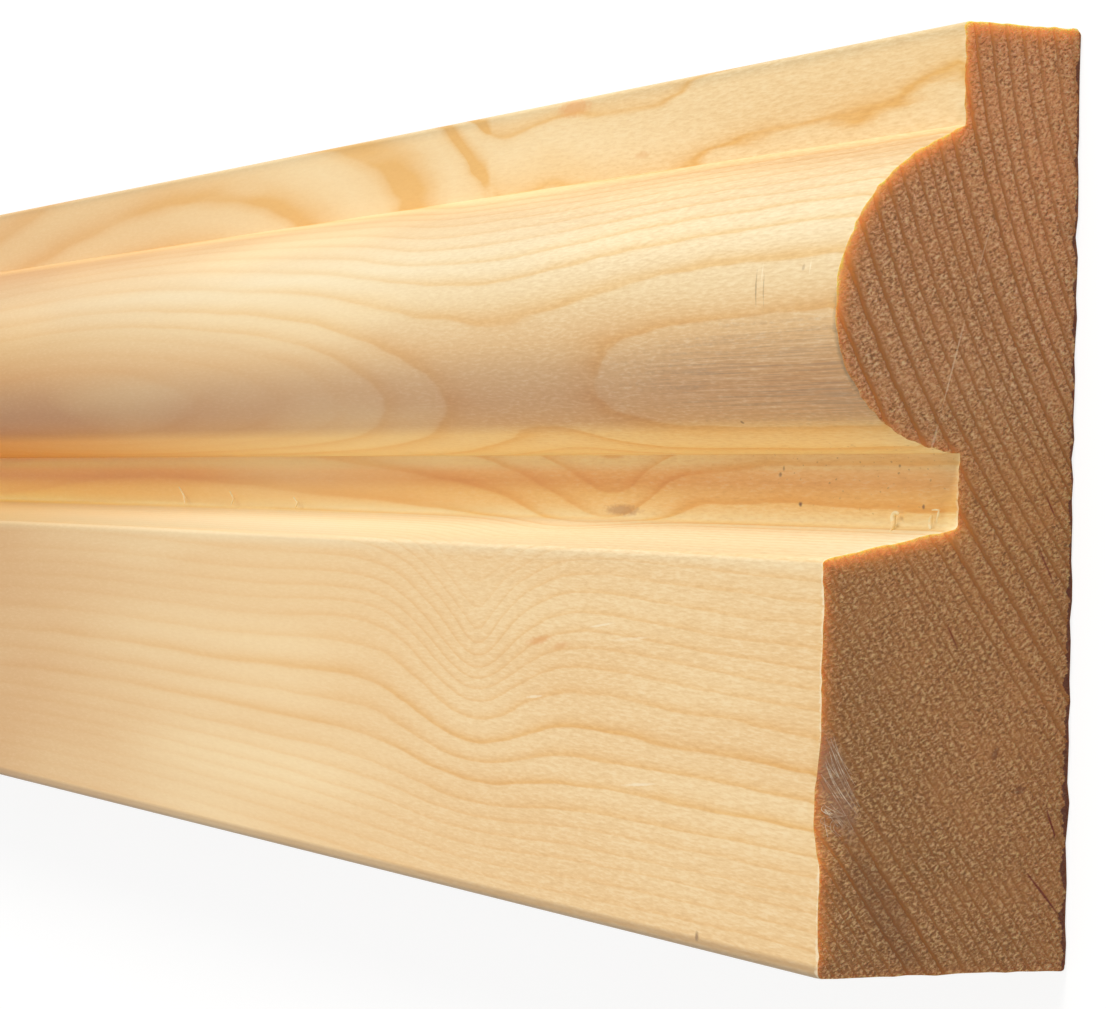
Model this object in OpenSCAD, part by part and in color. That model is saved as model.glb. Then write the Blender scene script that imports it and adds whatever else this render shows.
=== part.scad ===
// Torus architrave: one machined length of pine trim for door and window openings.
// It lies on its flat back with the moulded face up and the stock running along X.
// From the thin edge at +Y the section has a flat fillet, the torus bead, a quirk with
// a leaning wall, and the plain face that runs out to the thick edge at -Y.

/* [Stock] */
// Length of the piece, as it is sold
length = 2100; // [600:50:5100]
// Width of the section, from the thin edge to the thick edge
width = 69; // [60:0.5:95]
// Thickness from the flat back to the plain face
thickness = 20.5; // [16:0.5:30]

/* [Moulding] */
// Depth of the fillet and of the quirk below the plain face
ground_depth = 10.8; // [9:0.1:13]
// Depth of the bead's crown below the plain face
crown_depth = 0.6; // [0:0.1:2]
// Width of the flat fillet along the thin edge
fillet_width = 7.5; // [4:0.1:11]
// Width of the bead where it meets the fillet and the quirk
bead_width = 23.8; // [20:0.1:28]
// Lean of the bead's straight shoulder, in degrees from square to the back
shoulder_lean = 28; // [15:1:35]
// Width of the flat bottom of the quirk
quirk_width = 5.4; // [3:0.1:9]
// Lean of the quirk's wall, in degrees from square to the back
wall_lean = 12; // [0:1:25]

/* [Edges] */
// Radius worn on every long outer arris
arris_radius = 0.5; // [0.2:0.1:1.5]
// Radius that the cutter leaves at the foot of the quirk's wall
cutter_radius = 0.4; // [0.2:0.1:1.5]

/* [Hidden] */

// Furthest that a chord may lie from its true arc
chord_error = 0.005;
// Points nearer to each other than this are one point
same_point = 0.001;

// Levels of the section above the back, and its lines across the width
ground = thickness - ground_depth;
crown = thickness - crown_depth;
thin_edge = width / 2;
thick_edge = -width / 2;
bead_start = thin_edge - fillet_width;
quirk_start = bead_start - bead_width;
quirk_end = quirk_start - quirk_width;
wall_top = quirk_end - ground_depth * tan(wall_lean);

// The quirk side of the bead is a quarter round as high as the bead
bead_rise = crown - ground;
crown_line = quirk_start + bead_rise;

// The fillet side is one arc from the crown to the straight shoulder. It is as large as
// the space beside the crown allows, and never longer than the shoulder itself.
shoulder_corner = bead_start - bead_rise * tan(shoulder_lean);
shoulder_reach = min(shoulder_corner - crown_line, bead_rise / cos(shoulder_lean));
shoulder_radius = shoulder_reach / tan((90 - shoulder_lean) / 2);

// Sharp corners of the section as [y, z, radius], counter-clockwise from the back
corners = [
    [thick_edge, 0, arris_radius],
    [thin_edge, 0, arris_radius],
    [thin_edge, ground, arris_radius],
    [bead_start, ground, 0],
    [shoulder_corner, crown, shoulder_radius],
    [quirk_start, crown, bead_rise],
    [quirk_start, ground, 0],
    [quirk_end, ground, cutter_radius],
    [wall_top, thickness, arris_radius],
    [thick_edge, thickness, arris_radius],
];

function spot(corner) = [corner.x, corner.y];

function unit(v) = v / norm(v);

// Degrees to turn from direction a to direction b, positive counter-clockwise
function turn(a, b) = atan2(cross(a, b), a * b);

// Chords that keep an arc within the chord error
function chords(radius, sweep) =
    max(2, ceil(abs(sweep) / (2 * acos(1 - chord_error / radius))));

// The arc that rounds one corner, from its first tangent point to its last
function rounded_corner(before, corner, after, radius) =
    let (
        back = unit(before - corner),
        ahead = unit(after - corner),
        half = abs(turn(back, ahead)) / 2,
        centre = corner + unit(back + ahead) * radius / sin(half),
        first = corner + back * radius / tan(half) - centre,
        sweep = turn(-back, ahead),
        steps = chords(radius, sweep)
    )
    [
        for (i = [0:steps])
            let (a = sweep * i / steps)
            centre + [first.x * cos(a) - first.y * sin(a), first.x * sin(a) + first.y * cos(a)]
    ];

// Every corner in turn, rounded where it has a radius
function outline(list) =
    let (n = len(list))
    [
        for (i = [0:n - 1])
            let (
                before = spot(list[(i + n - 1) % n]),
                corner = spot(list[i]),
                after = spot(list[(i + 1) % n]),
                radius = list[i].z
            )
            each radius > 0 ? rounded_corner(before, corner, after, radius) : [corner]
    ];

// Neighbouring arcs end and start on the same point, which is kept once
function distinct(points) =
    let (n = len(points))
    [for (i = [0:n - 1]) if (norm(points[i] - points[(i + n - 1) % n]) > same_point) points[i]];

module section() {
    polygon(distinct(outline(corners)));
}

// One solid piece of pine, with the same section from end to end
module architrave() {
    color("burlywood")
        rotate([90, 0, 90])
            linear_extrude(height = length, center = true)
                section();
}

architrave();
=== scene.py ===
# %% [markdown]
# # A pine torus architrave
#
# The object is one length of softwood moulding, planed and run through a spindle moulder, then cross-cut
# with a saw. It lies on its flat back and the camera looks at the sawn end and along the moulded face.
# The shape of the section comes from the CAD model. What the CAD leaves out is what a growing tree and a
# saw leave in the wood: growth rings that run through the whole stick, the fibres, the torn corners.
#
# The idea of the whole scene is that one field, the depth of a point in the tree, colours every face.
# A line on the planed face and the line that it meets on the sawn end are then the same growth ring.

import math

import bpy
import numpy as np
from mathutils import Matrix, Vector
from mathutils.geometry import delaunay_2d_cdt


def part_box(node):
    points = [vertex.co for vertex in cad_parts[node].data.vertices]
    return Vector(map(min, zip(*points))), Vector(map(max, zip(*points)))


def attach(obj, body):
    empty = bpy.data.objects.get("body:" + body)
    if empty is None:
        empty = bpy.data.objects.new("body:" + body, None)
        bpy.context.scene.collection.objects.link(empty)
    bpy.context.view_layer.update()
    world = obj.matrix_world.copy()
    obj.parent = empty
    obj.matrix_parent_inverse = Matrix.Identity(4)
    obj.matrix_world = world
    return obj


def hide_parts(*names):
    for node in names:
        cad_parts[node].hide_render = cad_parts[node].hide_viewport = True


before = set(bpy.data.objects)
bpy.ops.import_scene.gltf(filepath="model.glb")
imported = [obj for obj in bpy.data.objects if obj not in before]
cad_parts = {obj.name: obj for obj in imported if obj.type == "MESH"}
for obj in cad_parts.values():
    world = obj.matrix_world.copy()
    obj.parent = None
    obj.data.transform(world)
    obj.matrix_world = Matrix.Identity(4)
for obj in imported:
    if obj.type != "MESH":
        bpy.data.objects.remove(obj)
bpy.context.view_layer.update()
low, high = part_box("architrave")
print("CAD box in mm:", [round(1000 * (b - a), 2) for a, b in zip(low, high)])

# %% [markdown]
# ## Helpers
#
# Sizes are written in millimetres, as a joiner has them, and turned into metres in one place. Colours are
# written as sRGB hex and turned into the linear values that Blender wants by one function. One more
# function adds a shader node, sets its values and joins it to others.

# %% Helpers
MM = 0.001
rng = np.random.default_rng(7)


def linear(colour, alpha=1.0):
    """sRGB hex to linear colour."""
    parts = [int(colour[i : i + 2], 16) / 255 for i in (1, 3, 5)]
    return tuple(c / 12.92 if c <= 0.04045 else ((c + 0.055) / 1.055) ** 2.4 for c in parts) + (alpha,)


def add(tree, kind, inputs=(), out=0, **settings):
    """Adds one shader node and gives back one of its outputs. An input is a value, or an output to join to."""
    node = tree.nodes.new("ShaderNode" + kind)
    for name, value in settings.items():
        setattr(node, name, value)
    pairs = inputs.items() if isinstance(inputs, dict) else enumerate(inputs)
    for socket, value in pairs:
        if isinstance(value, bpy.types.NodeSocket):
            tree.links.new(value, node.inputs[socket])
        elif value is not None:
            node.inputs[socket].default_value = value
    return node.outputs[out] if len(node.outputs) else None


def set_stops(output, stops, interpolation="LINEAR"):
    """Gives a colour ramp its stops, (place, grey or colour)."""
    ramp = output.node.color_ramp
    ramp.interpolation = interpolation
    while len(ramp.elements) < len(stops):
        ramp.elements.new(1.0)
    for element, (place, colour) in zip(ramp.elements, stops):
        element.position = place
        element.color = colour if isinstance(colour, tuple) else (colour, colour, colour, 1.0)
    return output


def new_material(name):
    """An empty node material."""
    material = bpy.data.materials.new(name)
    material.use_nodes = True
    material.node_tree.nodes.clear()
    return material, material.node_tree


# %% [markdown]
# ## Coordinates of the stick
#
# Three distances in mm place everything: w from the sawn end along the stick, v from the thin edge across
# it, u up from the back. The moulded face is also measured along its own surface, s, like a tape laid
# over it from the arris of the thin edge. Marks on the face are placed by w and s.

# %% Section
END_X, THIN_Y = high.x, high.y
LENGTH, WIDTH, THICKNESS = [(b - a) / MM for a, b in zip(low, high)]
GROUND = 9.7        # height of the fillet and of the quirk's floor
ARRIS = 0.5         # radius of the eased arrises


def to_row(w, u, v):
    """Stick coordinates in mm to the row frame in metres."""
    w, u, v = np.broadcast_arrays(w, u, v)
    return np.stack([END_X - w * MM, THIN_Y - v * MM, u * MM], -1)


def section_loop(node):
    """The section of the CAD node as (u, v) points in mm, once round, starting from the back."""
    mesh = node.data
    corner = [(round((THIN_Y - p.co.y) / MM, 4), round(p.co.z / MM, 4)) for p in mesh.vertices]
    step = {}
    for face in mesh.polygons:
        ends = [i for i in face.vertices if abs(mesh.vertices[i].co.x - END_X) < 1e-6]
        if len(ends) == 2:
            a, b = corner[ends[0]], corner[ends[1]]
            step.setdefault(a, set()).add(b)
            step.setdefault(b, set()).add(a)
    start = max(p for p in step if p[1] == 0)
    along = min(step[start])
    loop = [start, along]
    while True:
        ahead = [p for p in step[loop[-1]] if p != loop[-2]][0]
        if ahead == start:
            break
        loop.append(ahead)
    return np.array([(z, y) for y, z in loop])


def subdivided(points, step_of):
    """Points of a closed loop with long sides cut into short ones. step_of(middle) is the length wanted."""
    out = []
    for a, b in zip(points, np.roll(points, -1, axis=0)):
        size = np.hypot(*(b - a))
        n = max(1, int(math.ceil(size / step_of((a + b) / 2))))
        out += [a + (b - a) * i / n for i in range(n)]
    return np.array(out)


def loop_step(p):
    """Finer along the moulded face and the thin edge, which are seen, and coarser on the back."""
    u, v = p
    if u < 0.3:
        return 1.5
    if v < 0.3:
        return 0.25
    if v < 21 and u > GROUND - 0.1:
        return 0.35
    return 0.6 if v < 68.8 else 1.2


loop = subdivided(section_loop(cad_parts["architrave"]), loop_step)
run = np.r_[0, np.cumsum(np.hypot(*np.diff(loop, axis=0).T))]
first_on_face = np.argmax((loop[:, 0] > GROUND - 0.001) & (loop[:, 1] > ARRIS - 0.001))
run = run - run[first_on_face]
print("section points:", len(loop), "moulded face:", round(float(run.max()), 1), "mm")


def on_face(s):
    """(u, v) of a place on the moulded face."""
    return np.interp(s, run, loop[:, 0]), np.interp(s, run, loop[:, 1])


# %% [markdown]
# ## Growth rings
#
# A tree lays down one ring a year: pale wood in spring and a thin dark band of latewood that ends
# abruptly in autumn. Cut along the stick, the rings are long lines where they cross a face steeply, and
# wide loops where they graze it. The rings of this piece are nearly flat at the thin edge and lean more
# and more towards the thick edge. Round a hidden side branch they swell, and the planed face then shows
# the dip of the lines.
#
# The depth of a point in the tree is that leaning field plus a few swells, each with a centre, two radii
# and a height in mm. The heights of the dark bands in that field were read off the sawn end.

# %% Ring field
LEAN_V = [0, 10, 24, 36, 69]             # places across the stick, mm
LEAN = [7.5, 15, 26, 34, 35.5]           # lean of the rings there, degrees
SWELLS = [                               # w, v of the middle, radii along and across, height
    (70, 14, 33, 40, -2.5),
    (67, 44, 15, 13, -2.9),
    (180, 12, 103, 61, 3.4),
    (72, 45, 38, 12, 3.0),
    (200, 27, 50, 8, 1.2),
    (18, 7, 17, 6, -0.53),
    (84, 5, 27, 6, 1.12),
    (90, 0, 13, 12, -1.5),
    (115, 12, 40, 6, -1.35),
    (56, 25.5, 12, 5, -0.9),
    (59, 34.5, 8, 4.5, -1.3),
]
KNOTS = [                                # the same for the pointed dips at a branch
    (64.5, 46.5, 7.5, 6.5, -5.0),
    (612, 52, 12, 9, -4.5),
    (1180, 16, 10, 9, -4.0),
    (1655, 58, 14, 10, -5.0),
]
DRIFT = [(610, 1.3, 0.4), (347, 0.8, 2.1), (190, 0.35, 4.0)]   # wave length, height, phase of the far part

RINGS = [1.1, 2.45, 3.9, 5.1, 6.5, 7.8, 9.1, 10.2, 12.26, 13.46, 14.56, 15.65, 17.1, 18.4, 19.9, 21.5, 23.6,
         25.8, 27.2, 28.2, 29.18, 30.16, 31.14, 32.12, 33.1, 34.08, 35.06, 36.04, 37.02, 38.0, 38.95, 40.1,
         41.3, 42.3, 43.2, 44.2, 45.5, 47.35, 48.75, 50.15, 51.55, 52.5, 53.5, 54.3, 55.3, 56.2]
BOLD = [0.35, 0.4, 0.45, 0.5, 0.6, 0.7, 0.75, 0.85, 0.75, 0.75, 0.6, 0.6, 0.62, 0.68, 0.72, 0.8, 0.95,
        1.0, 0.85, 0.3, 0.35, 0.55, 0.5, 0.35, 0.3, 0.3, 0.35, 0.3, 0.35, 0.4, 0.45, 0.5,
        0.5, 0.5, 0.45, 0.5, 0.6, 1.0, 0.7, 0.95, 0.6, 0.5, 0.45, 0.4, 0.4, 0.4]

lean_v = np.arange(0, 70, 0.1)
lean_slope = np.tan(np.radians(np.interp(lean_v, LEAN_V, LEAN)))
lean_depth = np.r_[0, np.cumsum((lean_slope[1:] + lean_slope[:-1]) / 2 * 0.1)]


def depth(w, u, v):
    """Depth in the tree, mm, of a place in the stick."""
    d = u + np.interp(v, lean_v, lean_depth)
    for w0, v0, along, across, height in SWELLS:
        d = d + height * np.exp(-(((w - w0) / along) ** 2) - ((v - v0) / across) ** 2)
    for w0, v0, along, across, height in KNOTS:
        away = np.sqrt(((w - w0) / along) ** 2 + ((v - v0) / across) ** 2 + 0.12)
        d = d + height * np.exp(-1.2 * away)
    far = np.clip((w - 230) / 200, 0, 1)
    for wave, height, phase in DRIFT:
        d = d + far * far * height * (np.sin(w / wave * 2 * math.pi + phase) - math.sin(phase))
    return d


def ring_count(d):
    """Depth to a running number of rings. It is whole where one ring's latewood ends."""
    before = (d - RINGS[0]) / 1.3
    after = (d - RINGS[-1]) / 1.0
    count = np.interp(d, RINGS, np.arange(len(RINGS)))
    return count + np.minimum(before, 0) + np.maximum(after, 0)


# %% [markdown]
# ## The wood
#
# The stick is one closed mesh. Its long faces are the section carried along at stations that are close
# where the camera is near. The sawn end is filled with a fine net of triangles, because a saw does not
# leave it flat: one spot of the front arris is crushed, and the saw tore small chips out of the edges.
# Each corner of the mesh keeps its ring number, how bold that ring is, and its s.

# %% Mesh
stations = np.r_[0, 0.3, 0.6, 1.0, 1.5, 2.1, 2.8, 3.6, 4.6, np.arange(6, 200, 1.6), np.arange(200, 300, 4),
                 np.linspace(300, LENGTH, 100)]
loop_u, loop_v = loop.T
n_loop, n_st = len(loop), len(stations)


def smooth_noise(x, step, seed):
    """Seeded noise along a line, -1 to 1, with bumps about one step apart."""
    values = np.random.default_rng(seed).uniform(-1, 1, 4096)
    place = np.asarray(x) / step + 512
    base = np.floor(place).astype(int)
    part = place - base
    part = part * part * (3 - 2 * part)
    return values[base % 4096] * (1 - part) + values[(base + 1) % 4096] * part


def edge_loss(s):
    """How far, mm, the sawn edge is worn back at s: small chips, and the crushed spot."""
    chips = 0.07 * (1 + smooth_noise(s, 0.9, 1)) + 0.32 * np.clip(smooth_noise(s, 2.3, 2) - 0.45, 0, 1)
    chips = chips * np.where(s < -0.3, 1.6, 1.0)
    crushed = 1.15 * np.exp(-(((s - 75.0) / 3.6) ** 4)) * (0.85 + 0.15 * smooth_noise(s, 0.7, 3))
    return chips + crushed


def fray(s):
    """How far, mm, the sawn edge is worn inwards at s."""
    return np.maximum(0.07 + 0.085 * smooth_noise(s, 0.55, 4) + 0.04 * smooth_noise(s, 1.7, 5), 0)


loss = edge_loss(run)
pull = np.clip(1 - stations / 6.0, 0, 1)
W = stations[:, None] + loss[None] * pull[:, None] ** 1.5
U = np.repeat(loop_u[None], n_st, 0)
V = np.repeat(loop_v[None], n_st, 0)
ahead = np.roll(loop, -1, axis=0) - np.roll(loop, 1, axis=0)
inwards = np.c_[-ahead[:, 1], ahead[:, 0]] / np.hypot(*ahead.T)[:, None]
turns = loop_u * np.roll(loop_v, -1) - loop_v * np.roll(loop_u, -1)
inwards = inwards * np.sign(turns.sum())
fray_and_dark_streaks = np.clip(1 - stations / 0.8, 0, 1)[:, None] * fray(run)[None]
U = U + fray_and_dark_streaks * inwards[:, 0]
V = V + fray_and_dark_streaks * inwards[:, 1]
body = to_row(W, U, V).reshape(-1, 3)
print("stations:", n_st)


def inside_section(u, v, margin):
    """True for points inside the section, at least margin from its edge."""
    a, b = loop, np.roll(loop, -1, axis=0)
    inside = np.zeros(u.shape, bool)
    near = np.full(u.shape, 1e9)
    for (ua, va), (ub, vb) in zip(a, b):
        crosses = (va > v) != (vb > v)
        with np.errstate(divide="ignore", invalid="ignore"):
            hit = (ub - ua) * (v - va) / (vb - va) + ua
        inside ^= crosses & (u < hit)
        length2 = (ub - ua) ** 2 + (vb - va) ** 2
        t = np.clip(((u - ua) * (ub - ua) + (v - va) * (vb - va)) / length2, 0, 1)
        near = np.minimum(near, np.hypot(u - ua - t * (ub - ua), v - va - t * (vb - va)))
    return inside & (near > margin), near


def cap(spacing):
    """Triangles that fill the section: the extra points (u, v), and triangles over loop and extra points."""
    gu, gv = np.meshgrid(np.arange(spacing / 2, THICKNESS, spacing), np.arange(spacing / 2, WIDTH, spacing))
    gu = (gu + spacing * 0.5 * ((np.arange(gu.shape[0]) % 2)[:, None] - 0.5)).ravel()
    gv = gv.ravel()
    keep, near = inside_section(gu, gv, spacing * 0.45)
    extra = np.c_[gu, gv][keep]
    points = [Vector(p) for p in np.vstack([loop, extra])]
    result = delaunay_2d_cdt(points, [], [list(range(n_loop))], 1, 1e-5)
    origin = [o[0] for o in result[3]]
    return extra, near[keep], [[origin[i] for i in tri] for tri in result[2]]


near_extra, near_edge, near_tris = cap(0.5)
far_extra, far_edge, far_tris = cap(1.6)

edge_s = run[np.argmin(np.hypot(near_extra[:, :1] - loop[:, 0], near_extra[:, 1:] - loop[:, 1]), axis=1)]
sink = edge_loss(edge_s) * np.exp(-((near_edge / 1.3) ** 1.3))
near_points = to_row(sink, near_extra[:, 0], near_extra[:, 1])
far_points = to_row(np.full(len(far_extra), LENGTH), far_extra[:, 0], far_extra[:, 1])
points = np.vstack([body, near_points, far_points])

base_near = n_loop * n_st
base_far = base_near + len(near_points)
last = n_loop * (n_st - 1)
i, j = np.meshgrid(np.arange(n_st - 1), np.arange(n_loop), indexing="ij")
k = (j + 1) % n_loop
quads = np.stack([i * n_loop + j, i * n_loop + k, (i + 1) * n_loop + k, (i + 1) * n_loop + j], -1).reshape(-1, 4)
near_faces = [[p if p < n_loop else p - n_loop + base_near for p in tri] for tri in near_tris]
far_faces = [[p + last if p < n_loop else p - n_loop + base_far for p in tri] for tri in far_tris]


def outward(faces, direction):
    """Turns triangles so that they all face one way."""
    out = []
    for tri in faces:
        a, b, c = (points[p] for p in tri)
        normal = np.cross(b - a, c - a)
        out.append(tri if normal[0] * direction > 0 else tri[::-1])
    return out


near_faces, far_faces = outward(near_faces, 1), outward(far_faces, -1)
q = quads[0]
middle_out = np.cross(points[q[1]] - points[q[0]], points[q[3]] - points[q[0]])
if middle_out[2] > 0:
    quads = quads[:, ::-1]

mesh = bpy.data.meshes.new("architrave_wood")
mesh.from_pydata(points.tolist(), [], quads.tolist() + near_faces + far_faces)
wood = bpy.data.objects.new("architrave_wood", mesh)
bpy.context.scene.collection.objects.link(wood)

sw = (END_X - points[:, 0]) / MM
su = points[:, 2] / MM
sv = (THIN_Y - points[:, 1]) / MM
count = ring_count(depth(sw, su, sv))
bold = np.interp(count, np.arange(len(BOLD)), BOLD)
quiet = np.clip((sw - 70) / 170, 0, 1) * np.clip((560 - sw) / 200, 0, 1)
s_all = np.r_[np.tile(run, n_st), np.full(len(near_points) + len(far_points), -99.0)]
curl = np.exp(-(((sw - 66) / 10) ** 2) - ((s_all - 54) / 7) ** 2)
fillet = (s_all > -1) & (s_all < 7.2)
faint = np.clip((sv - 34) / 14, 0, 1) * (1 - 0.9 * np.clip((sv - 57) / 5, 0, 1))
low_end = np.where((s_all < -90) & (sw < 10), 1 - 0.45 * faint, 1.0)
on_bead = (s_all >= 7.2) & (s_all < 40)
bold = bold * (1 - 0.6 * quiet * (sw > 0)) * (1 - 0.6 * curl) * np.where(fillet, 1.2, 1.0) * low_end
bold = bold * np.where(fillet & (sw > 90) & (sw < 300), 2.2, 1.0) * np.where(on_bead, 0.74, 1.0)
bold = bold * np.where(s_all > 47, 0.9, 1.0)
# The painted orange glow on the sawn end beside each edge, as strong as that edge is lit.
LIT_S = [-10.5, -9.5, 0, 0.5, 7, 8, 24, 28, 41, 46, 47, 57, 58, 86, 87.5]       # places round the section
LIT = [0, 1, 1, 0.75, 0.7, 1, 1, 0.3, 0.2, 0.4, 1, 1, 0.5, 0.5, 0]               # how brightly each is lit
painted_rim_light = np.zeros(len(points))
painted_rim_light[:n_loop] = np.interp(run, LIT_S, LIT)
painted_rim_light[base_near:base_far] = np.interp(edge_s, LIT_S, LIT) * np.exp(-((near_edge / 0.95) ** 1.4))
narrow = np.where(fillet & (sw < 90), 0.5, 0.0)
broad = np.clip((sw - 45) / 80, 0, 1) * np.clip((560 - sw) / 200, 0, 1)
broad = np.maximum(0.8 * broad, np.where(fillet, np.clip((sw - 75) / 30, 0, 1) * np.clip((700 - sw) / 200, 0, 1), 0))
for name, values in (("ring", count), ("bold", bold), ("face_s", s_all), ("painted_rim_light", painted_rim_light), ("narrow", narrow),
                     ("broad", broad)):
    layer = mesh.attributes.new(name, "FLOAT", "POINT")
    layer.data.foreach_set("value", values.astype(np.float32))

mesh.polygons.foreach_set("use_smooth", [True] * len(mesh.polygons))
mesh.set_sharp_from_angle(angle=math.radians(34))
end_from = len(quads)
slots = np.zeros(len(mesh.polygons), np.int32)
slots[end_from:] = 1
mesh.polygons.foreach_set("material_index", slots)
print("triangles:", 2 * len(quads) + len(near_faces) + len(far_faces))

# %% [markdown]
# ## Planed pine
#
# Planed pine is pale straw where the cells of spring wood are wide and thin, and orange where latewood is
# dense. Latewood darkens slowly and stops abruptly. Light goes a little way into the wood, which softens
# the lines, and the cut fibres give a dull sheen. The finest marks, fibres about 0.04 mm wide, are drawn
# about 0.12 mm wide, because that is as fine as the picture shows.

# %% Planed pine
pine, t = new_material("planed_pine")
here = add(t, "TexCoord", out="Object")
mm = add(t, "VectorMath", (here, (1000, 1000, 1000)), operation="MULTIPLY")
ring = add(t, "Attribute", out="Fac", attribute_name="ring")
bold_of = add(t, "Attribute", out="Fac", attribute_name="bold")


def noise(tree, place, squeeze, detail=2.0, roughness=0.5, distortion=0.0):
    """Noise over a place in mm, squeezed by (along, across, up) bumps per mm. It is a function because it is used often."""
    vector = add(tree, "VectorMath", (place, squeeze), operation="MULTIPLY")
    return add(tree, "TexNoise", {"Vector": vector, "Scale": 1.0, "Detail": detail, "Roughness": roughness,
                                  "Distortion": distortion})


wander = noise(t, mm, (0.07, 0.4, 0.4), 1.0)
feather = noise(t, mm, (0.2, 1.6, 1.6), 1.0)
broad = add(t, "Attribute", out="Fac", attribute_name="broad")
calm = add(t, "Math", (broad, -0.9, 1.0), operation="MULTIPLY_ADD")
feather = add(t, "Math", (add(t, "Math", (feather, -0.5), operation="ADD"), calm), operation="MULTIPLY")
steady = add(t, "Math", (broad, -0.6, 1.0), operation="MULTIPLY_ADD")
wander = add(t, "Math", (add(t, "Math", (wander, -0.5), operation="ADD"), steady), operation="MULTIPLY")
shift = add(t, "Math", (wander, 0.36, 0.93), operation="MULTIPLY_ADD")
shift = add(t, "Math", (feather, 0.08, shift), operation="MULTIPLY_ADD")
part = add(t, "Math", (add(t, "Math", (ring, shift), operation="ADD"),), operation="FRACT")
late = set_stops(add(t, "ValToRGB", (part,)),
                 [(0.0, 0.35), (0.05, 0.0), (0.35, 0.0), (0.62, 0.2), (0.79, 0.55), (0.9, 0.95), (0.95, 1.0),
                  (0.985, 0.8), (1.0, 0.3)])
thin = set_stops(add(t, "ValToRGB", (part,)),
                 [(0.0, 0.2), (0.03, 0.0), (0.82, 0.0), (0.9, 0.2), (0.935, 0.95), (0.955, 1.0), (0.975, 0.45), (1.0, 0.2)])
narrow = add(t, "Attribute", out="Fac", attribute_name="narrow")
late = add(t, "Mix", {0: narrow, 2: late, 3: thin})
wide = set_stops(add(t, "ValToRGB", (part,)),
                 [(0.0, 0.42), (0.12, 0.1), (0.3, 0.0), (0.5, 0.12), (0.7, 0.42), (0.85, 0.75), (0.93, 0.78), (1.0, 0.42)])
late = add(t, "Mix", {0: broad, 2: late, 3: wide})
patchy = noise(t, mm, (0.035, 0.3, 0.3), 1.0)
patchy = add(t, "Math", (patchy, 1.5, 0.25), operation="MULTIPLY_ADD", use_clamp=True)
amount = add(t, "Math", (late, bold_of), operation="MULTIPLY")
amount = add(t, "Math", (amount, patchy), operation="MULTIPLY")

face_s = add(t, "Attribute", out="Fac", attribute_name="face_s")
across = add(t, "Math", (face_s, 0.01), operation="MULTIPLY")
# Part of these tones is painted light: the bright foot of the bead and the bright wall of the quirk stand in for
# bounced light, and the darker underside of the bead and the darker band in the quirk at 42.6 to 43.4 mm are painted
# shade. The rest is the wood's own tone across the section.
FACE_TONES_WITH_PAINTED_LIGHT = [                  # s in mm, tone of the early wood there
    (0.0, "#DEC493"), (0.6, "#F3D6A1"), (7.0, "#F3D6A1"),                              # fillet
    (9.0, "#DBB989"), (13.0, "#DFC496"), (18.0, "#E8D7B2"), (22.5, "#E9CFA0"),         # bead, top
    (26.2, "#E7BF87"), (28.5, "#DFB47F"), (31.0, "#DDAC76"), (33.6, "#E0AF79"),        # bead, underside
    (35.2, "#FFDC9A"), (40.5, "#FFECB6"), (41.1, "#FFE6AC"),                           # bead, foot
    (41.9, "#FFE0A0"), (42.6, "#FFC878"), (43.4, "#F9B961"), (44.4, "#FFCE78"), (45.4, "#FFD68A"),   # quirk
    (46.1, "#FFE6AA"), (46.6, "#FFEDBC"), (47.5, "#F5EBCC"), (53.0, "#F3EACE"), (56.5, "#EADEBC"),        # wall of the quirk
    (58.5, "#EFCC95"), (100.0, "#EFCC96"),                                             # plain face
]
early = set_stops(add(t, "ValToRGB", (across,)), [(s / 100, linear(tone)) for s, tone in FACE_TONES_WITH_PAINTED_LIGHT])
clouds = noise(t, mm, (0.015, 0.12, 0.12), 1.0)
paler = add(t, "Mix", {0: 0.5, 6: early, 7: linear("#FDE7B8")}, out=2, data_type="RGBA")
early = add(t, "Mix", {0: add(t, "MapRange", {"Value": clouds, "From Min": 0.45, "From Max": 0.75}), 6: early, 7: paler},
            out=2, data_type="RGBA")
along = add(t, "SeparateXYZ", (mm,), out="X")
# From 0.1 m on the wood is tinted deeper, with its own tint at each place across the section, and the tint fades
# farther along. This is partly the wood's own tone and partly painted shade for light that falls off along the stick.
deeper = add(t, "MapRange", {"Value": along, "From Min": END_X / MM - 100, "From Max": END_X / MM - 260},
             interpolation_type="SMOOTHSTEP")
fading = add(t, "MapRange", {"Value": along, "From Min": END_X / MM - 360, "From Max": END_X / MM - 900,
                             "To Min": 1.0, "To Max": 0.4}, interpolation_type="SMOOTHSTEP")
deeper = add(t, "Math", (deeper, fading), operation="MULTIPLY")
FAR_TINTS_WITH_PAINTED_SHADE = [
    (0.0, "#EFE1CD"), (7.0, "#EFE1CD"), (9.0, "#E6D2B8"), (18.0, "#E6D2B8"), (25.0, "#DFC38E"), (31.0, "#DDC08A"),
    (35.0, "#F2C794"), (40.5, "#F0C08C"), (42.0, "#FBEC92"), (45.5, "#FBEC94"), (47.5, "#E5D7B6"), (56.5, "#DCCDAB"),
    (58.5, "#D8C2A3"), (100.0, "#D8C2A3"),
]
far_tint_and_shade = set_stops(add(t, "ValToRGB", (across,)), [(s / 100, linear(tone)) for s, tone in FAR_TINTS_WITH_PAINTED_SHADE])
warm = add(t, "Mix", {0: 1.0, 6: early, 7: far_tint_and_shade}, out=2, data_type="RGBA", blend_type="MULTIPLY")
early = add(t, "Mix", {0: deeper, 6: early, 7: warm}, out=2, data_type="RGBA")
w_of = add(t, "Math", (END_X / MM, along), operation="SUBTRACT")
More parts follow.
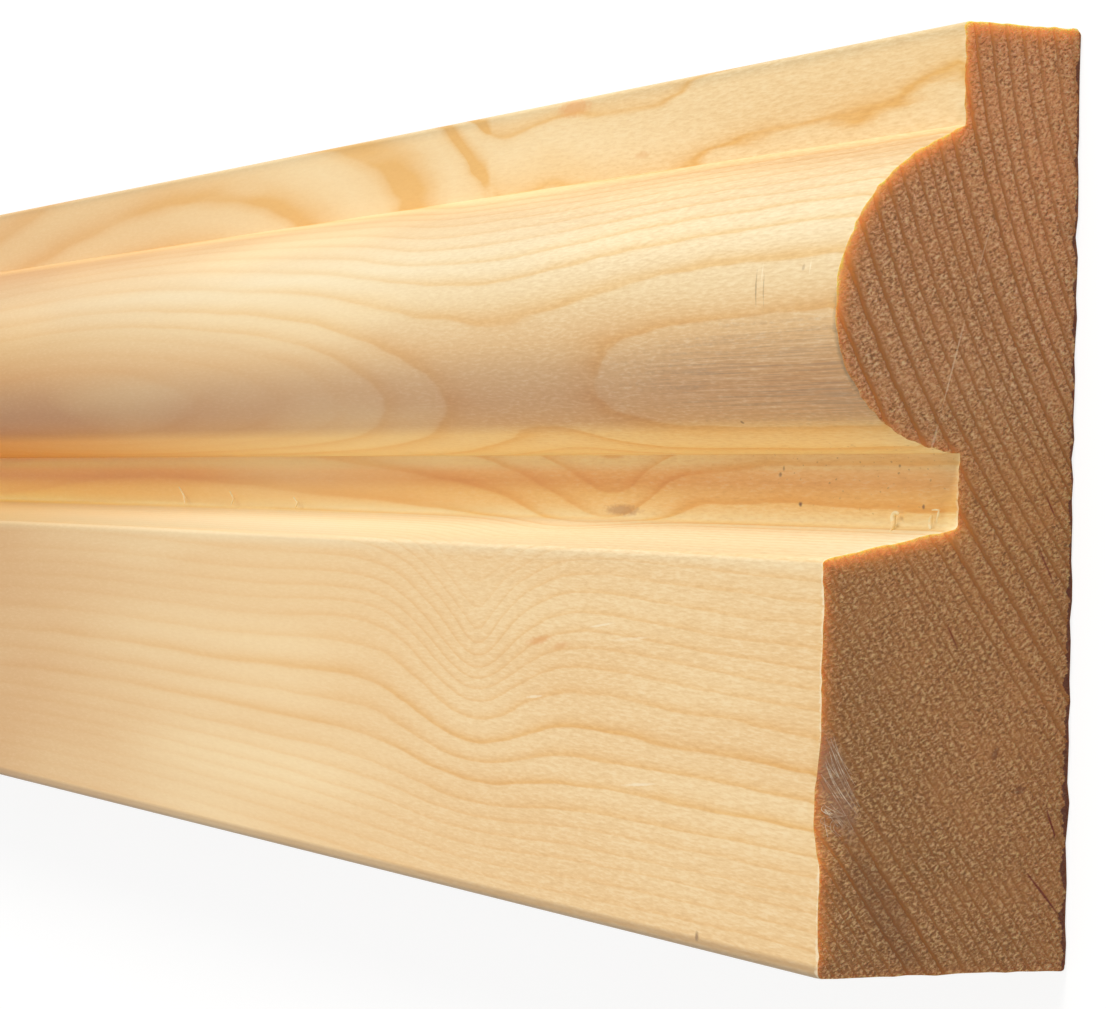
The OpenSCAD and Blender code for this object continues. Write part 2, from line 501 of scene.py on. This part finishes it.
near = add(t, "MapRange", {"Value": w_of, "From Min": 30, "From Max": 120, "To Min": 1.0, "To Max": 0.3},
           interpolation_type="SMOOTHSTEP")
fibre = noise(t, mm, (0.75, 5.2, 5.2), 2.0, 0.6)
fibre_tint = set_stops(add(t, "ValToRGB", (fibre,)),
                       [(0.25, linear("#F3EBDF")), (0.5, linear("#FDFBF8")), (0.62, linear("#FFFFFF"))])
wood_tone = add(t, "Mix", {0: near, 6: early, 7: fibre_tint}, out=2, data_type="RGBA", blend_type="MULTIPLY")
pale = add(t, "MapRange", {"Value": fibre, "From Min": 0.52, "From Max": 0.78, "To Max": 0.3})
pale = add(t, "Math", (pale, near), operation="MULTIPLY")
wood_tone = add(t, "Mix", {0: pale, 6: wood_tone, 7: linear("#FFF0CE")}, out=2, data_type="RGBA")
line_tone = add(t, "Mix", {0: 1.0, 6: wood_tone, 7: linear("#F2D69C")}, out=2, data_type="RGBA", blend_type="MULTIPLY")
tone = add(t, "Mix", {0: amount, 6: wood_tone, 7: line_tone}, out=2, data_type="RGBA")

# %% [markdown]
# Small marks sit on the planed face: the pin knot and resin pores of the quirk, a bruise across the bead,
# an orange eye beside the hidden branch. Each is a soft spot at a place (w, s), with its own size.

# %% Marks on the face
MARKS = [                       # w, s, half length, half height, turn in degrees, strength, colour
    (58.8, 45.8, 3.6, 0.5, 0, 0.5, "#A5673A"),
    (25.2, 45.0, 0.32, 0.2, 0, 0.9, "#6E4423"),
    (28.8, 42.7, 0.3, 0.18, 0, 0.7, "#7C5230"),
    (28.2, 42.2, 0.2, 0.2, 0, 0.6, "#7C5230"),
    (22.5, 34.1, 0.25, 0.16, 0, 0.8, "#7C5230"),
    (5.2, 45.0, 0.24, 0.18, 0, 0.8, "#7C5230"),
    (9.0, 42.0, 0.2, 0.12, 0, 0.6, "#7C5230"),
    (13.2, 23.2, 0.13, 1.3, 14, 0.55, "#8F6F4C"),
    (11.9, 23.3, 0.1, 1.3, 14, 0.45, "#8F6F4C"),
    (12.6, 22.0, 0.12, 0.7, 14, 0.4, "#FFF3D8"),
    (4.8, 21.9, 0.1, 0.6, 10, 0.5, "#FFF3D8"),
    (5.9, 21.9, 0.25, 0.25, 0, 0.45, "#9C7B58"),
    (51.2, 65.1, 2.6, 0.35, 8, 0.6, "#DE9A50"),
    (46.8, 65.4, 1.8, 0.3, 8, 0.4, "#DE9A50"),
    (56.0, 5.4, 1.6, 0.35, 0, 0.35, "#E0A258"),
    (70.5, 0.3, 3.5, 0.8, 0, 0.55, "#E39A4E"),
    (33.0, 64.3, 3.5, 0.12, 4, 0.3, "#FFF3D6"),
    (38.5, 63.4, 2.4, 0.1, 6, 0.5, "#FFF3D6"),
    (20.0, 86.3, 0.35, 0.35, 0, 0.7, "#7C5A38"),
    (31.0, 75.6, 3.0, 0.12, 5, 0.5, "#FFF3D6"),
    (52.0, 69.8, 1.6, 0.12, 5, 0.5, "#FFF3D6"),
]


def spot_distance(tree, place, at, half, turn, ragged):
    """Distance from the middle of an oval spot, 1 at its outline. Its outline is made ragged by a noise."""
    away = add(tree, "VectorMath", (place, (*at, 0.0)), operation="SUBTRACT")
    away = add(tree, "VectorRotate", {"Vector": away, "Angle": -math.radians(turn)}, rotation_type="Z_AXIS")
    away = add(tree, "VectorMath", (away, (1 / half[0], 1 / half[1], 0.0)), operation="MULTIPLY")
    away = add(tree, "VectorMath", (away,), out="Value", operation="LENGTH")
    return add(tree, "Math", (ragged, 0.8, away), operation="MULTIPLY_ADD")


on_sheet = add(t, "CombineXYZ", (w_of, face_s, 0.0))
blur = noise(t, mm, (1.5, 3.0, 3.0), 1.0)
for w0, s0, half_w, half_s, turn, strength, colour in MARKS:
    away = spot_distance(t, on_sheet, (w0, s0), (half_w, half_s), turn, blur)
    mask = add(t, "MapRange", {"Value": away, "From Min": 1.6, "From Max": 0.9, "To Max": strength})
    tone = add(t, "Mix", {0: mask, 6: tone, 7: linear(colour)}, out=2, data_type="RGBA")

# Near the end, the underside of the bead gets fine greyish streaks along the grain, and paler streaks between them that
# are a painted sheen.
away = spot_distance(t, on_sheet, (4.0, 30.0), (34.0, 4.6), 0, blur)
bead_streak_patch = add(t, "MapRange", {"Value": away, "From Min": 1.5, "From Max": 0.9})
streak = noise(t, mm, (0.05, 5.0, 5.0), 3.0, 0.75)
fray_and_dark_streaks = add(t, "MapRange", {"Value": streak, "From Min": 0.48, "From Max": 0.6, "To Max": 0.48})
tone = add(t, "Mix", {0: add(t, "Math", (bead_streak_patch, fray_and_dark_streaks), operation="MULTIPLY"), 6: tone, 7: linear("#A88262")},
           out=2, data_type="RGBA")
painted_sheen = add(t, "MapRange", {"Value": streak, "From Min": 0.46, "From Max": 0.36, "To Max": 0.32})
tone = add(t, "Mix", {0: add(t, "Math", (bead_streak_patch, painted_sheen), operation="MULTIPLY"), 6: tone, 7: linear("#FBE3BC")},
           out=2, data_type="RGBA")

# The arris of the thick edge, where it turns down, is darkened with painted shade.
painted_arris_shade = add(t, "MapRange", {"Value": face_s, "From Min": 86.25, "From Max": 86.6, "To Max": 0.5})
tone = add(t, "Mix", {0: painted_arris_shade, 6: tone, 7: linear("#8A6A48")}, out=2, data_type="RGBA")

# Small pores in the quirk near the end.
pores = noise(t, mm, (1.8, 3.6, 3.6), 0.0)
away = spot_distance(t, on_sheet, (10.0, 41.0), (32.0, 5.2), 0, blur)
porous = add(t, "MapRange", {"Value": away, "From Min": 1.5, "From Max": 0.8})
pores = add(t, "MapRange", {"Value": pores, "From Min": 0.75, "From Max": 0.82, "To Max": 0.5})
tone = add(t, "Mix", {0: add(t, "Math", (porous, pores), operation="MULTIPLY"), 6: tone, 7: linear("#9A6A38")},
           out=2, data_type="RGBA")

# A dark brown line is painted just beside the sawn edge, under the bead: a painted shadow along the edge.
away = spot_distance(t, on_sheet, (0.0, 28.5), (0.7, 5.0), 0, blur)
painted_edge_shadow = add(t, "MapRange", {"Value": away, "From Min": 1.5, "From Max": 0.8, "To Max": 0.6})
tone = add(t, "Mix", {0: painted_edge_shadow, 6: tone, 7: linear("#8A6A42")}, out=2, data_type="RGBA")

# A pale ragged line runs along the sawn edge of the quirk and the plain face: partly fuzz of fibres that the saw tore
# out, partly a painted highlight along the arris.
torn_fuzz_and_highlight = add(t, "MapRange", {"Value": add(t, "Math", (blur, -0.9, w_of), operation="MULTIPLY_ADD"),
                           "From Min": -0.05, "From Max": -0.3, "To Max": 0.6})
beyond = add(t, "MapRange", {"Value": face_s, "From Min": 41.0, "From Max": 47.5})
torn_fuzz_and_highlight = add(t, "Math", (torn_fuzz_and_highlight, beyond), operation="MULTIPLY")
tone = add(t, "Mix", {0: torn_fuzz_and_highlight, 6: tone, 7: linear("#FFF0D2")}, out=2, data_type="RGBA")

bump = add(t, "Bump", {"Strength": 0.5, "Distance": 0.015 * MM, "Height": fibre})
shine = add(t, "BsdfPrincipled", {"Base Color": tone, "Roughness": 0.5, "IOR": 1.5, "Normal": bump})
add(t, "OutputMaterial", (shine,))

# %% [markdown]
# ## Sawn end grain
#
# On the sawn end the eye looks into the open ends of the fibres. Light runs down them and little comes
# back, so the same wood is brown there, and latewood is darker still. The saw leaves spring wood woolly:
# small crumbs and pits of about 0.3 mm. Latewood is hard and is cut clean. Where the light falls on the
# long face just beside the edge, the end shows an orange rim: a painted glow in its colour, with some subsurface light
# on top.

# %% End grain
grain, t = new_material("sawn_end_grain")
here = add(t, "TexCoord", out="Object")
mm = add(t, "VectorMath", (here, (1000, 1000, 1000)), operation="MULTIPLY")
ring = add(t, "Attribute", out="Fac", attribute_name="ring")
bold_of = add(t, "Attribute", out="Fac", attribute_name="bold")
turned = add(t, "VectorRotate", {"Vector": mm, "Angle": -math.radians(28)}, rotation_type="X_AXIS")
crumbs = noise(t, turned, (0.0, 4.5, 2.9), 2.2, 0.6, 0.3)
wander = noise(t, mm, (0.0, 0.5, 0.5))
feather = noise(t, mm, (0.0, 2.6, 2.6))
shift = add(t, "Math", (wander, 0.16, 0.93 - 0.08 - 0.06 - 0.02), operation="MULTIPLY_ADD")
shift = add(t, "Math", (feather, 0.12, shift), operation="MULTIPLY_ADD")
shift = add(t, "Math", (crumbs, 0.08, shift), operation="MULTIPLY_ADD")
part = add(t, "Math", (add(t, "Math", (ring, shift), operation="ADD"),), operation="FRACT")
late = set_stops(add(t, "ValToRGB", (part,)),
                 [(0.0, 0.25), (0.05, 0.0), (0.58, 0.0), (0.76, 0.25), (0.86, 0.8), (0.93, 1.0), (0.975, 0.9), (1.0, 0.25)])
strength = add(t, "Math", (bold_of, 0.72, 0.24), operation="MULTIPLY_ADD")
amount = add(t, "Math", (late, strength), operation="MULTIPLY")

hue = noise(t, mm, (0.0, 0.09, 0.09), 2.0)
heart = add(t, "Math", (ring, 0.025, add(t, "Math", (hue, -0.5), operation="ADD")), operation="MULTIPLY_ADD", use_clamp=True)
early = add(t, "Mix", {0: heart, 6: linear("#E29A62"), 7: linear("#BA804C")}, out=2, data_type="RGBA")
woolly = noise(t, mm, (0.0, 0.3, 0.3), 2.0)
woolly = add(t, "MapRange", {"Value": woolly, "From Min": 0.3, "From Max": 0.55, "To Min": 0.6, "To Max": 1.0})
soft = add(t, "Math", (1.0, amount), operation="SUBTRACT", use_clamp=True)
y_mm = add(t, "SeparateXYZ", (mm,), out="Y")
v_of = add(t, "Math", (THIN_Y / MM, y_mm), operation="SUBTRACT")
harder = add(t, "MapRange", {"Value": v_of, "From Min": 22, "From Max": 46, "To Min": 1.0, "To Max": 0.97})
woolly = add(t, "Math", (woolly, soft), operation="MULTIPLY")
woolly = add(t, "Math", (woolly, harder), operation="MULTIPLY")
# The crests of the crumbs are painted paler and the pits darker: a painted highlight and shade of the crumbs, on top of
# their bump.
crest_highlight = set_stops(add(t, "ValToRGB", (crumbs,)), [(0.48, 0.0), (0.56, 0.45), (0.66, 1.0)])
crest_highlight = add(t, "Math", (crest_highlight, woolly), operation="MULTIPLY")
pit_shade = add(t, "MapRange", {"Value": crumbs, "From Min": 0.47, "From Max": 0.34, "To Max": 0.8})
pit_shade = add(t, "Math", (pit_shade, woolly), operation="MULTIPLY")
tone = add(t, "Mix", {0: crest_highlight, 6: early, 7: linear("#FDCF9A")}, out=2, data_type="RGBA")
tone = add(t, "Mix", {0: pit_shade, 6: tone, 7: linear("#8A5A32")}, out=2, data_type="RGBA")
tone = add(t, "Mix", {0: amount, 6: tone, 7: linear("#AE6826")}, out=2, data_type="RGBA")
# The end is darkened farther from the thin edge: painted shade.
down = add(t, "Math", (v_of, 0.01), operation="MULTIPLY")
painted_end_shade = set_stops(add(t, "ValToRGB", (down,)),
                  [(0.0, linear("#FDFBFD")), (0.16, linear("#FAFAFF")), (0.26, linear("#F3F8FF")),
                   (0.34, linear("#EBECDD")), (0.42, linear("#EAEBE1")), (0.69, linear("#EDEEE8"))])
tone = add(t, "Mix", {0: 1.0, 6: tone, 7: painted_end_shade}, out=2, data_type="RGBA", blend_type="MULTIPLY")

# %% [markdown]
# The orange rim beside a lit edge is a painted glow, as strong as the long face beside it is lit. It reaches
# deeper along the latewood, whose cells lie close. A few marks on the end follow: the bruise of the crushed arris, a
# long scratch, crumbled spots, dark cracks, and splinters at the back edge that are painted dark for the shade they lie
# in.

# %% Marks on the end
rim_of = add(t, "Attribute", out="Fac", attribute_name="painted_rim_light")
deeper = add(t, "Math", (amount, -0.65, 1.0), operation="MULTIPLY_ADD")
glow = add(t, "Math", (rim_of, deeper), operation="POWER")
glow = add(t, "Math", (glow, add(t, "Math", (feather, 0.5), operation="ADD")), operation="MULTIPLY", use_clamp=True)
# Colour of the painted glow at the rim.
painted_rim_colour = set_stops(add(t, "ValToRGB", (rim_of,)),
                     [(0.0, linear("#D07A34")), (0.25, linear("#E89A48")), (0.6, linear("#FFB25C")), (0.95, linear("#FFCC78"))])
dense = add(t, "Math", (amount, 0.65), operation="MULTIPLY")
painted_rim_colour = add(t, "Mix", {0: dense, 6: painted_rim_colour, 7: linear("#E68A38")}, out=2, data_type="RGBA")
tone = add(t, "Mix", {0: glow, 6: tone, 7: painted_rim_colour}, out=2, data_type="RGBA")

END_MARKS = [                   # v, u, half length, half height, turn in degrees, strength, colour
    (55.0, 19.2, 4.4, 1.3, -18, 0.5, "#B48A70"),
    (25.0, 10.3, 3.6, 0.07, 15.3, 0.6, "#F8D8B4"),
    (16.5, 7.9, 2.6, 0.06, 17, 0.4, "#F8D8B4"),
    (30.2, 11.7, 1.0, 0.12, 15, 0.5, "#F8D8B4"),
    (64.5, 15.0, 6.0, 1.5, -32, 0.3, "#7A4A2C"),
    (53.0, 6.3, 0.6, 0.25, 30, 0.5, "#6E3320"),
    (55.7, 4.2, 0.3, 0.5, -10, 0.5, "#6E3320"),
    (58.2, 1.5, 1.35, 0.1, -22, 0.85, "#7A2618"),
    (63.2, 2.2, 2.3, 0.11, -41.5, 0.85, "#7A2618"),
    (39.5, 2.2, 1.7, 0.09, -26.6, 0.75, "#84301E"),
    (35.0, 2.0, 1.0, 0.08, -26, 0.7, "#84301E"),
    (44.5, 10.0, 1.1, 0.08, -26.6, 0.7, "#84301E"),
]
z_mm = add(t, "SeparateXYZ", (mm,), out="Z")
on_end = add(t, "CombineXYZ", (v_of, z_mm, 0.0))
for v0, u0, half_v, half_u, turn, strength, colour in END_MARKS:
    away = spot_distance(t, on_end, (v0, u0), (half_v, half_u), turn, feather)
    mask = add(t, "MapRange", {"Value": away, "From Min": 1.5, "From Max": 1.0, "To Max": strength})
    tone = add(t, "Mix", {0: mask, 6: tone, 7: linear(colour)}, out=2, data_type="RGBA")

# A ragged dark maroon band along the back edge: splinters that the saw tore out, painted dark for the shade by the
# floor that they lie in.
splinter_and_shade = noise(t, mm, (0.0, 0.5, 0.0), 4.0, 0.7)
reach = add(t, "MapRange", {"Value": splinter_and_shade, "From Min": 0.34, "From Max": 0.64, "To Min": 0.0, "To Max": 0.5})
longer = add(t, "MapRange", {"Value": v_of, "From Min": 36, "From Max": 50, "To Min": 1.0, "To Max": 1.7})
reach = add(t, "Math", (reach, longer), operation="MULTIPLY")
splinter_and_shade = add(t, "MapRange", {"Value": add(t, "Math", (reach, z_mm), operation="SUBTRACT"),
                               "From Min": -0.04, "From Max": 0.04, "To Max": 0.85})
tone = add(t, "Mix", {0: splinter_and_shade, 6: tone, 7: linear("#5E2418")}, out=2, data_type="RGBA")

bump = add(t, "Bump", {"Strength": 1.0, "Distance": 0.45 * MM, "Height": add(t, "Math", (crumbs, woolly), operation="MULTIPLY")})
let_through = add(t, "Math", (rim_of, 0.6, 0.42), operation="MULTIPLY_ADD", use_clamp=True)
shine = add(t, "BsdfPrincipled", {"Base Color": tone, "Roughness": 0.75, "IOR": 1.5, "Subsurface Weight": let_through,
                                  "Subsurface Radius": (1.0, 0.35, 0.12), "Subsurface Scale": 2.4 * MM, "Normal": bump})
add(t, "OutputMaterial", (shine,))

mesh.materials.append(pine)
mesh.materials.append(grain)
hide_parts("architrave")
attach(wood, "root")

# %% [markdown]
# ## Torn fibres
#
# Where the cutter or the saw tears instead of cutting, slivers of fibre stay on the wood. Two pale curls
# bridge the inner corner of the quirk near the end, a few lie farther along it, and a tuft lies in the
# bruise of the front arris. Each is a thin closed ribbon that tapers to its ends.

# %% Torn fibres
CURLS = [                       # half width, then points (w, u, v) along each curl, mm
    (0.21, [(7.1, 11.4, 37.1), (8.5, 10.35, 36.65), (9.2, 10.1, 36.2), (9.15, 10.1, 35.8), (8.8, 10.1, 35.65), (8.2, 10.1, 35.75)]),
    (0.17, [(3.0, 10.3, 36.8), (3.4, 10.1, 36.3), (3.3, 10.05, 35.8)]),
    (0.09, [(2.4, 10.1, 36.3), (2.25, 10.1, 35.8), (2.2, 10.05, 35.4)]),
    (0.06, [(3.4, 10.0, 35.42), (2.8, 10.1, 35.38), (2.1, 10.0, 35.4)]),
    (0.06, [(5.9, 11.3, 37.1), (4.8, 11.45, 37.2), (3.6, 11.5, 37.2)]),
    (0.1, [(137.5, 10.9, 36.6), (138.5, 10.3, 36.0), (140.0, 10.2, 35.5)]),
    (0.1, [(158.0, 10.8, 36.5), (158.6, 10.3, 35.8), (160.4, 10.15, 35.0)]),
    (0.1, [(174.0, 10.7, 36.5), (175.5, 10.3, 35.6), (178.0, 10.1, 34.6)]),
]


def ribbon(path, wide, thick, steps=14):
    """A closed tapering ribbon along points (w, u, v) in mm: its corners in metres, and its faces."""
    knots = np.array(path, float)
    place = np.linspace(0, len(knots) - 1, steps)
    line = np.stack([np.interp(place, np.arange(len(knots)), knots[:, i]) for i in range(3)], -1)
    for _ in range(2):
        line[1:-1] = (line[:-2] + 2 * line[1:-1] + line[2:]) / 4
    along = np.gradient(line, axis=0)
    along /= np.linalg.norm(along, axis=1)[:, None]
    side = np.cross(along, (-0.9, 0.4, 0.1))
    side /= np.linalg.norm(side, axis=1)[:, None]
    over = np.cross(side, along)
    taper = 0.25 + 0.75 * np.sin(np.linspace(0.12, 0.88, steps) * math.pi)
    corners = [(wide, 0.3 * thick), (0.0, thick), (-wide, 0.3 * thick), (-wide, -0.3 * thick), (0.0, -thick),
               (wide, -0.3 * thick)]
    ring = [line + taper[:, None] * (side * a + over * b) for a, b in corners]
    points = np.stack(ring, 1).reshape(-1, 3)
    n = len(corners)
    faces = [(i * n + j, i * n + (j + 1) % n, (i + 1) * n + (j + 1) % n, (i + 1) * n + j)
             for i in range(steps - 1) for j in range(n)]
    faces += [tuple(range(n))[::-1], tuple((steps - 1) * n + j for j in range(n))]
    return to_row(*points.T), faces


def sunk(u, v):
    """How deep, mm, the crushed end lies under the plane of the saw, by the front arris."""
    return edge_loss(np.interp(v, loop[run > 58][:, 1], run[run > 58])) * np.exp(-(((THICKNESS - u) / 1.3) ** 1.3))


tuft = np.random.default_rng(11)
strands = [(path, wide, 0.04) for wide, path in CURLS]
for number in range(30):
    gathered = number >= 14                 # the second lot lies in a short tangled bunch
    v0 = 56.3 + 1.6 * tuft.random() if gathered else 51.6 + 3.0 * tuft.random()
    u0 = 19.9 - 0.9 * tuft.random() if gathered else 20.2 - 0.9 * tuft.random()
    long = 0.7 + 1.0 * tuft.random() if gathered else 2.0 + 4.4 * tuft.random()
    lean = math.radians(-40 + 30 * tuft.normal() if gathered else -26 - 10 * tuft.random())
    bend = (0.9 if gathered else 0.5) * tuft.normal()
    line = [(u0 + math.sin(lean) * long * p * (0.6 + 0.4 * p) + bend * p * (1 - p), v0 + math.cos(lean) * long * p)
            for p in (0, 0.25, 0.5, 0.75, 1)]
    strands.append(([(max(0.05, float(sunk(u, v)) - 0.03), u, v) for u, v in line], 0.02, 0.02))
strand_points, strand_faces, dusty_and_shaded = [], [], []
for number, (path, wide, thick) in enumerate(strands):
    corners, faces = ribbon(path, wide, thick)
    start = sum(len(c) for c in strand_points)
    strand_points.append(corners)
    strand_faces += [tuple(start + p for p in face) for face in faces]
    dusty_and_shaded += [int(number >= len(CURLS))] * len(faces)
fibre_mesh = bpy.data.meshes.new("torn_fibres")
fibre_mesh.from_pydata(np.vstack(strand_points).tolist(), [], strand_faces)
torn_fibres = bpy.data.objects.new("torn_fibres", fibre_mesh)
bpy.context.scene.collection.objects.link(torn_fibres)
fibre_mesh.polygons.foreach_set("use_smooth", [True] * len(fibre_mesh.polygons))
# The tuft gets a second, greyer copy of the fibre material: partly dust, partly painted shade for the shade that it
# lies in.
for name, pale, deep in (("torn_pine_fibre", "#FFF4CE", "#FFE7B0"), ("dusty_shaded_pine_fibre", "#EBD8BC", "#C4A384")):
    straw, t = new_material(name)
    here = add(t, "TexCoord", out="Object")
    mm = add(t, "VectorMath", (here, (1000, 1000, 1000)), operation="MULTIPLY")
    streaks = noise(t, mm, (2.0, 1.5, 1.5), 2.0)
    streaks = add(t, "MapRange", {"Value": streaks, "From Min": 0.4, "From Max": 0.6})
    tone = add(t, "Mix", {0: streaks, 6: linear(pale), 7: linear(deep)}, out=2, data_type="RGBA")
    shine = add(t, "BsdfPrincipled", {"Base Color": tone, "Roughness": 0.6, "IOR": 1.5})
    add(t, "OutputMaterial", (shine,))
    fibre_mesh.materials.append(straw)
fibre_mesh.polygons.foreach_set("material_index", dusty_and_shaded)
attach(torn_fibres, "root")
print("torn fibres:", len(strands))

# %% [markdown]
# ## Light, floor and camera
#
# The photo shows soft light from the side of the thin edge and above, a little from behind the sawn end:
# the shoulder of the bead and the wall of the quirk are bright, the underside of the bead and the sawn end
# are in shade. A large lamp gives that light, and a plain bright surround fills the shade. The floor is
# white in the picture and keeps a faint shadow.

# %% Light and floor
KEY_LEVEL = 0.8             # of white, on a face square to the light
key_data = bpy.data.lights.new("window", "SUN")
key_data.energy = KEY_LEVEL * math.pi
key_data.angle = math.radians(37)
key_data.color = linear("#FFFAF0")[:3]
key = bpy.data.objects.new("window", key_data)
toward = Vector((0.04, 0.79, 0.61)).normalized()
key.location = Vector((0.0, 0.0, 1.0))
key.rotation_euler = toward.to_track_quat("Z", "Y").to_euler()
bpy.context.scene.collection.objects.link(key)


def shows_background(tree):
    """1 for the rays that show the background: from the camera, and those that mirrors and glass send on."""
    rays = add(tree, "LightPath").node.outputs
    seen = add(tree, "Math", (rays["Is Camera Ray"], rays["Is Glossy Ray"]), operation="ADD")
    return add(tree, "Math", (seen, rays["Is Transmission Ray"]), operation="ADD", use_clamp=True)


world = bpy.data.worlds.new("surround")
bpy.context.scene.world = world
world.use_nodes = True
t = world.node_tree
t.nodes.clear()
surround = add(t, "Background", {"Color": linear("#FFFFFF"), "Strength": 0.475})
backdrop = add(t, "Background", {"Color": linear("#FFFFFF"), "Strength": 1.0})
add(t, "OutputWorld", (add(t, "MixShader", (shows_background(t), surround, backdrop)),))

paper, t = new_material("white_floor")
bounce = add(t, "BsdfDiffuse", {"Color": linear("#DDDDDD")})
shadow = add(t, "BsdfDiffuse", {"Color": linear("#7B7B7B")})
glow = add(t, "Emission", {"Color": linear("#FFFFFF"), "Strength": 0.86})
shown = add(t, "AddShader", (shadow, glow))
floor_mix = add(t, "MixShader", (shows_background(t), bounce, shown))
add(t, "OutputMaterial", (floor_mix,))

floor_mesh = bpy.data.meshes.new("floor")
half = 6.0
floor_mesh.from_pydata([(-half, -half, 0), (half, -half, 0), (half, half, 0), (-half, half, 0)], [], [(0, 1, 2, 3)])
floor = bpy.data.objects.new("floor", floor_mesh)
floor.location.z = -0.05 * MM
floor_mesh.materials.append(paper)
bpy.context.scene.collection.objects.link(floor)

# %% Camera
camera_at = Vector((END_X + 0.26386, -0.00011, 0.15563))
backward = Vector((0.91786, 0.00279, 0.39689)).normalized()
rightward = Vector((0.39680, 0.01640, -0.91776)).normalized()
upward = backward.cross(rightward)
camera_data = bpy.data.cameras.new("camera")
camera_data.sensor_width = 36.0
camera_data.lens = 135.11
camera_data.clip_start = 0.01
camera = bpy.data.objects.new("camera", camera_data)
camera.matrix_world = Matrix.Translation(camera_at) @ Matrix((rightward, upward, backward)).transposed().to_4x4()
bpy.context.scene.collection.objects.link(camera)
bpy.context.scene.camera = camera
bpy.context.scene.view_settings.view_transform = "Standard"
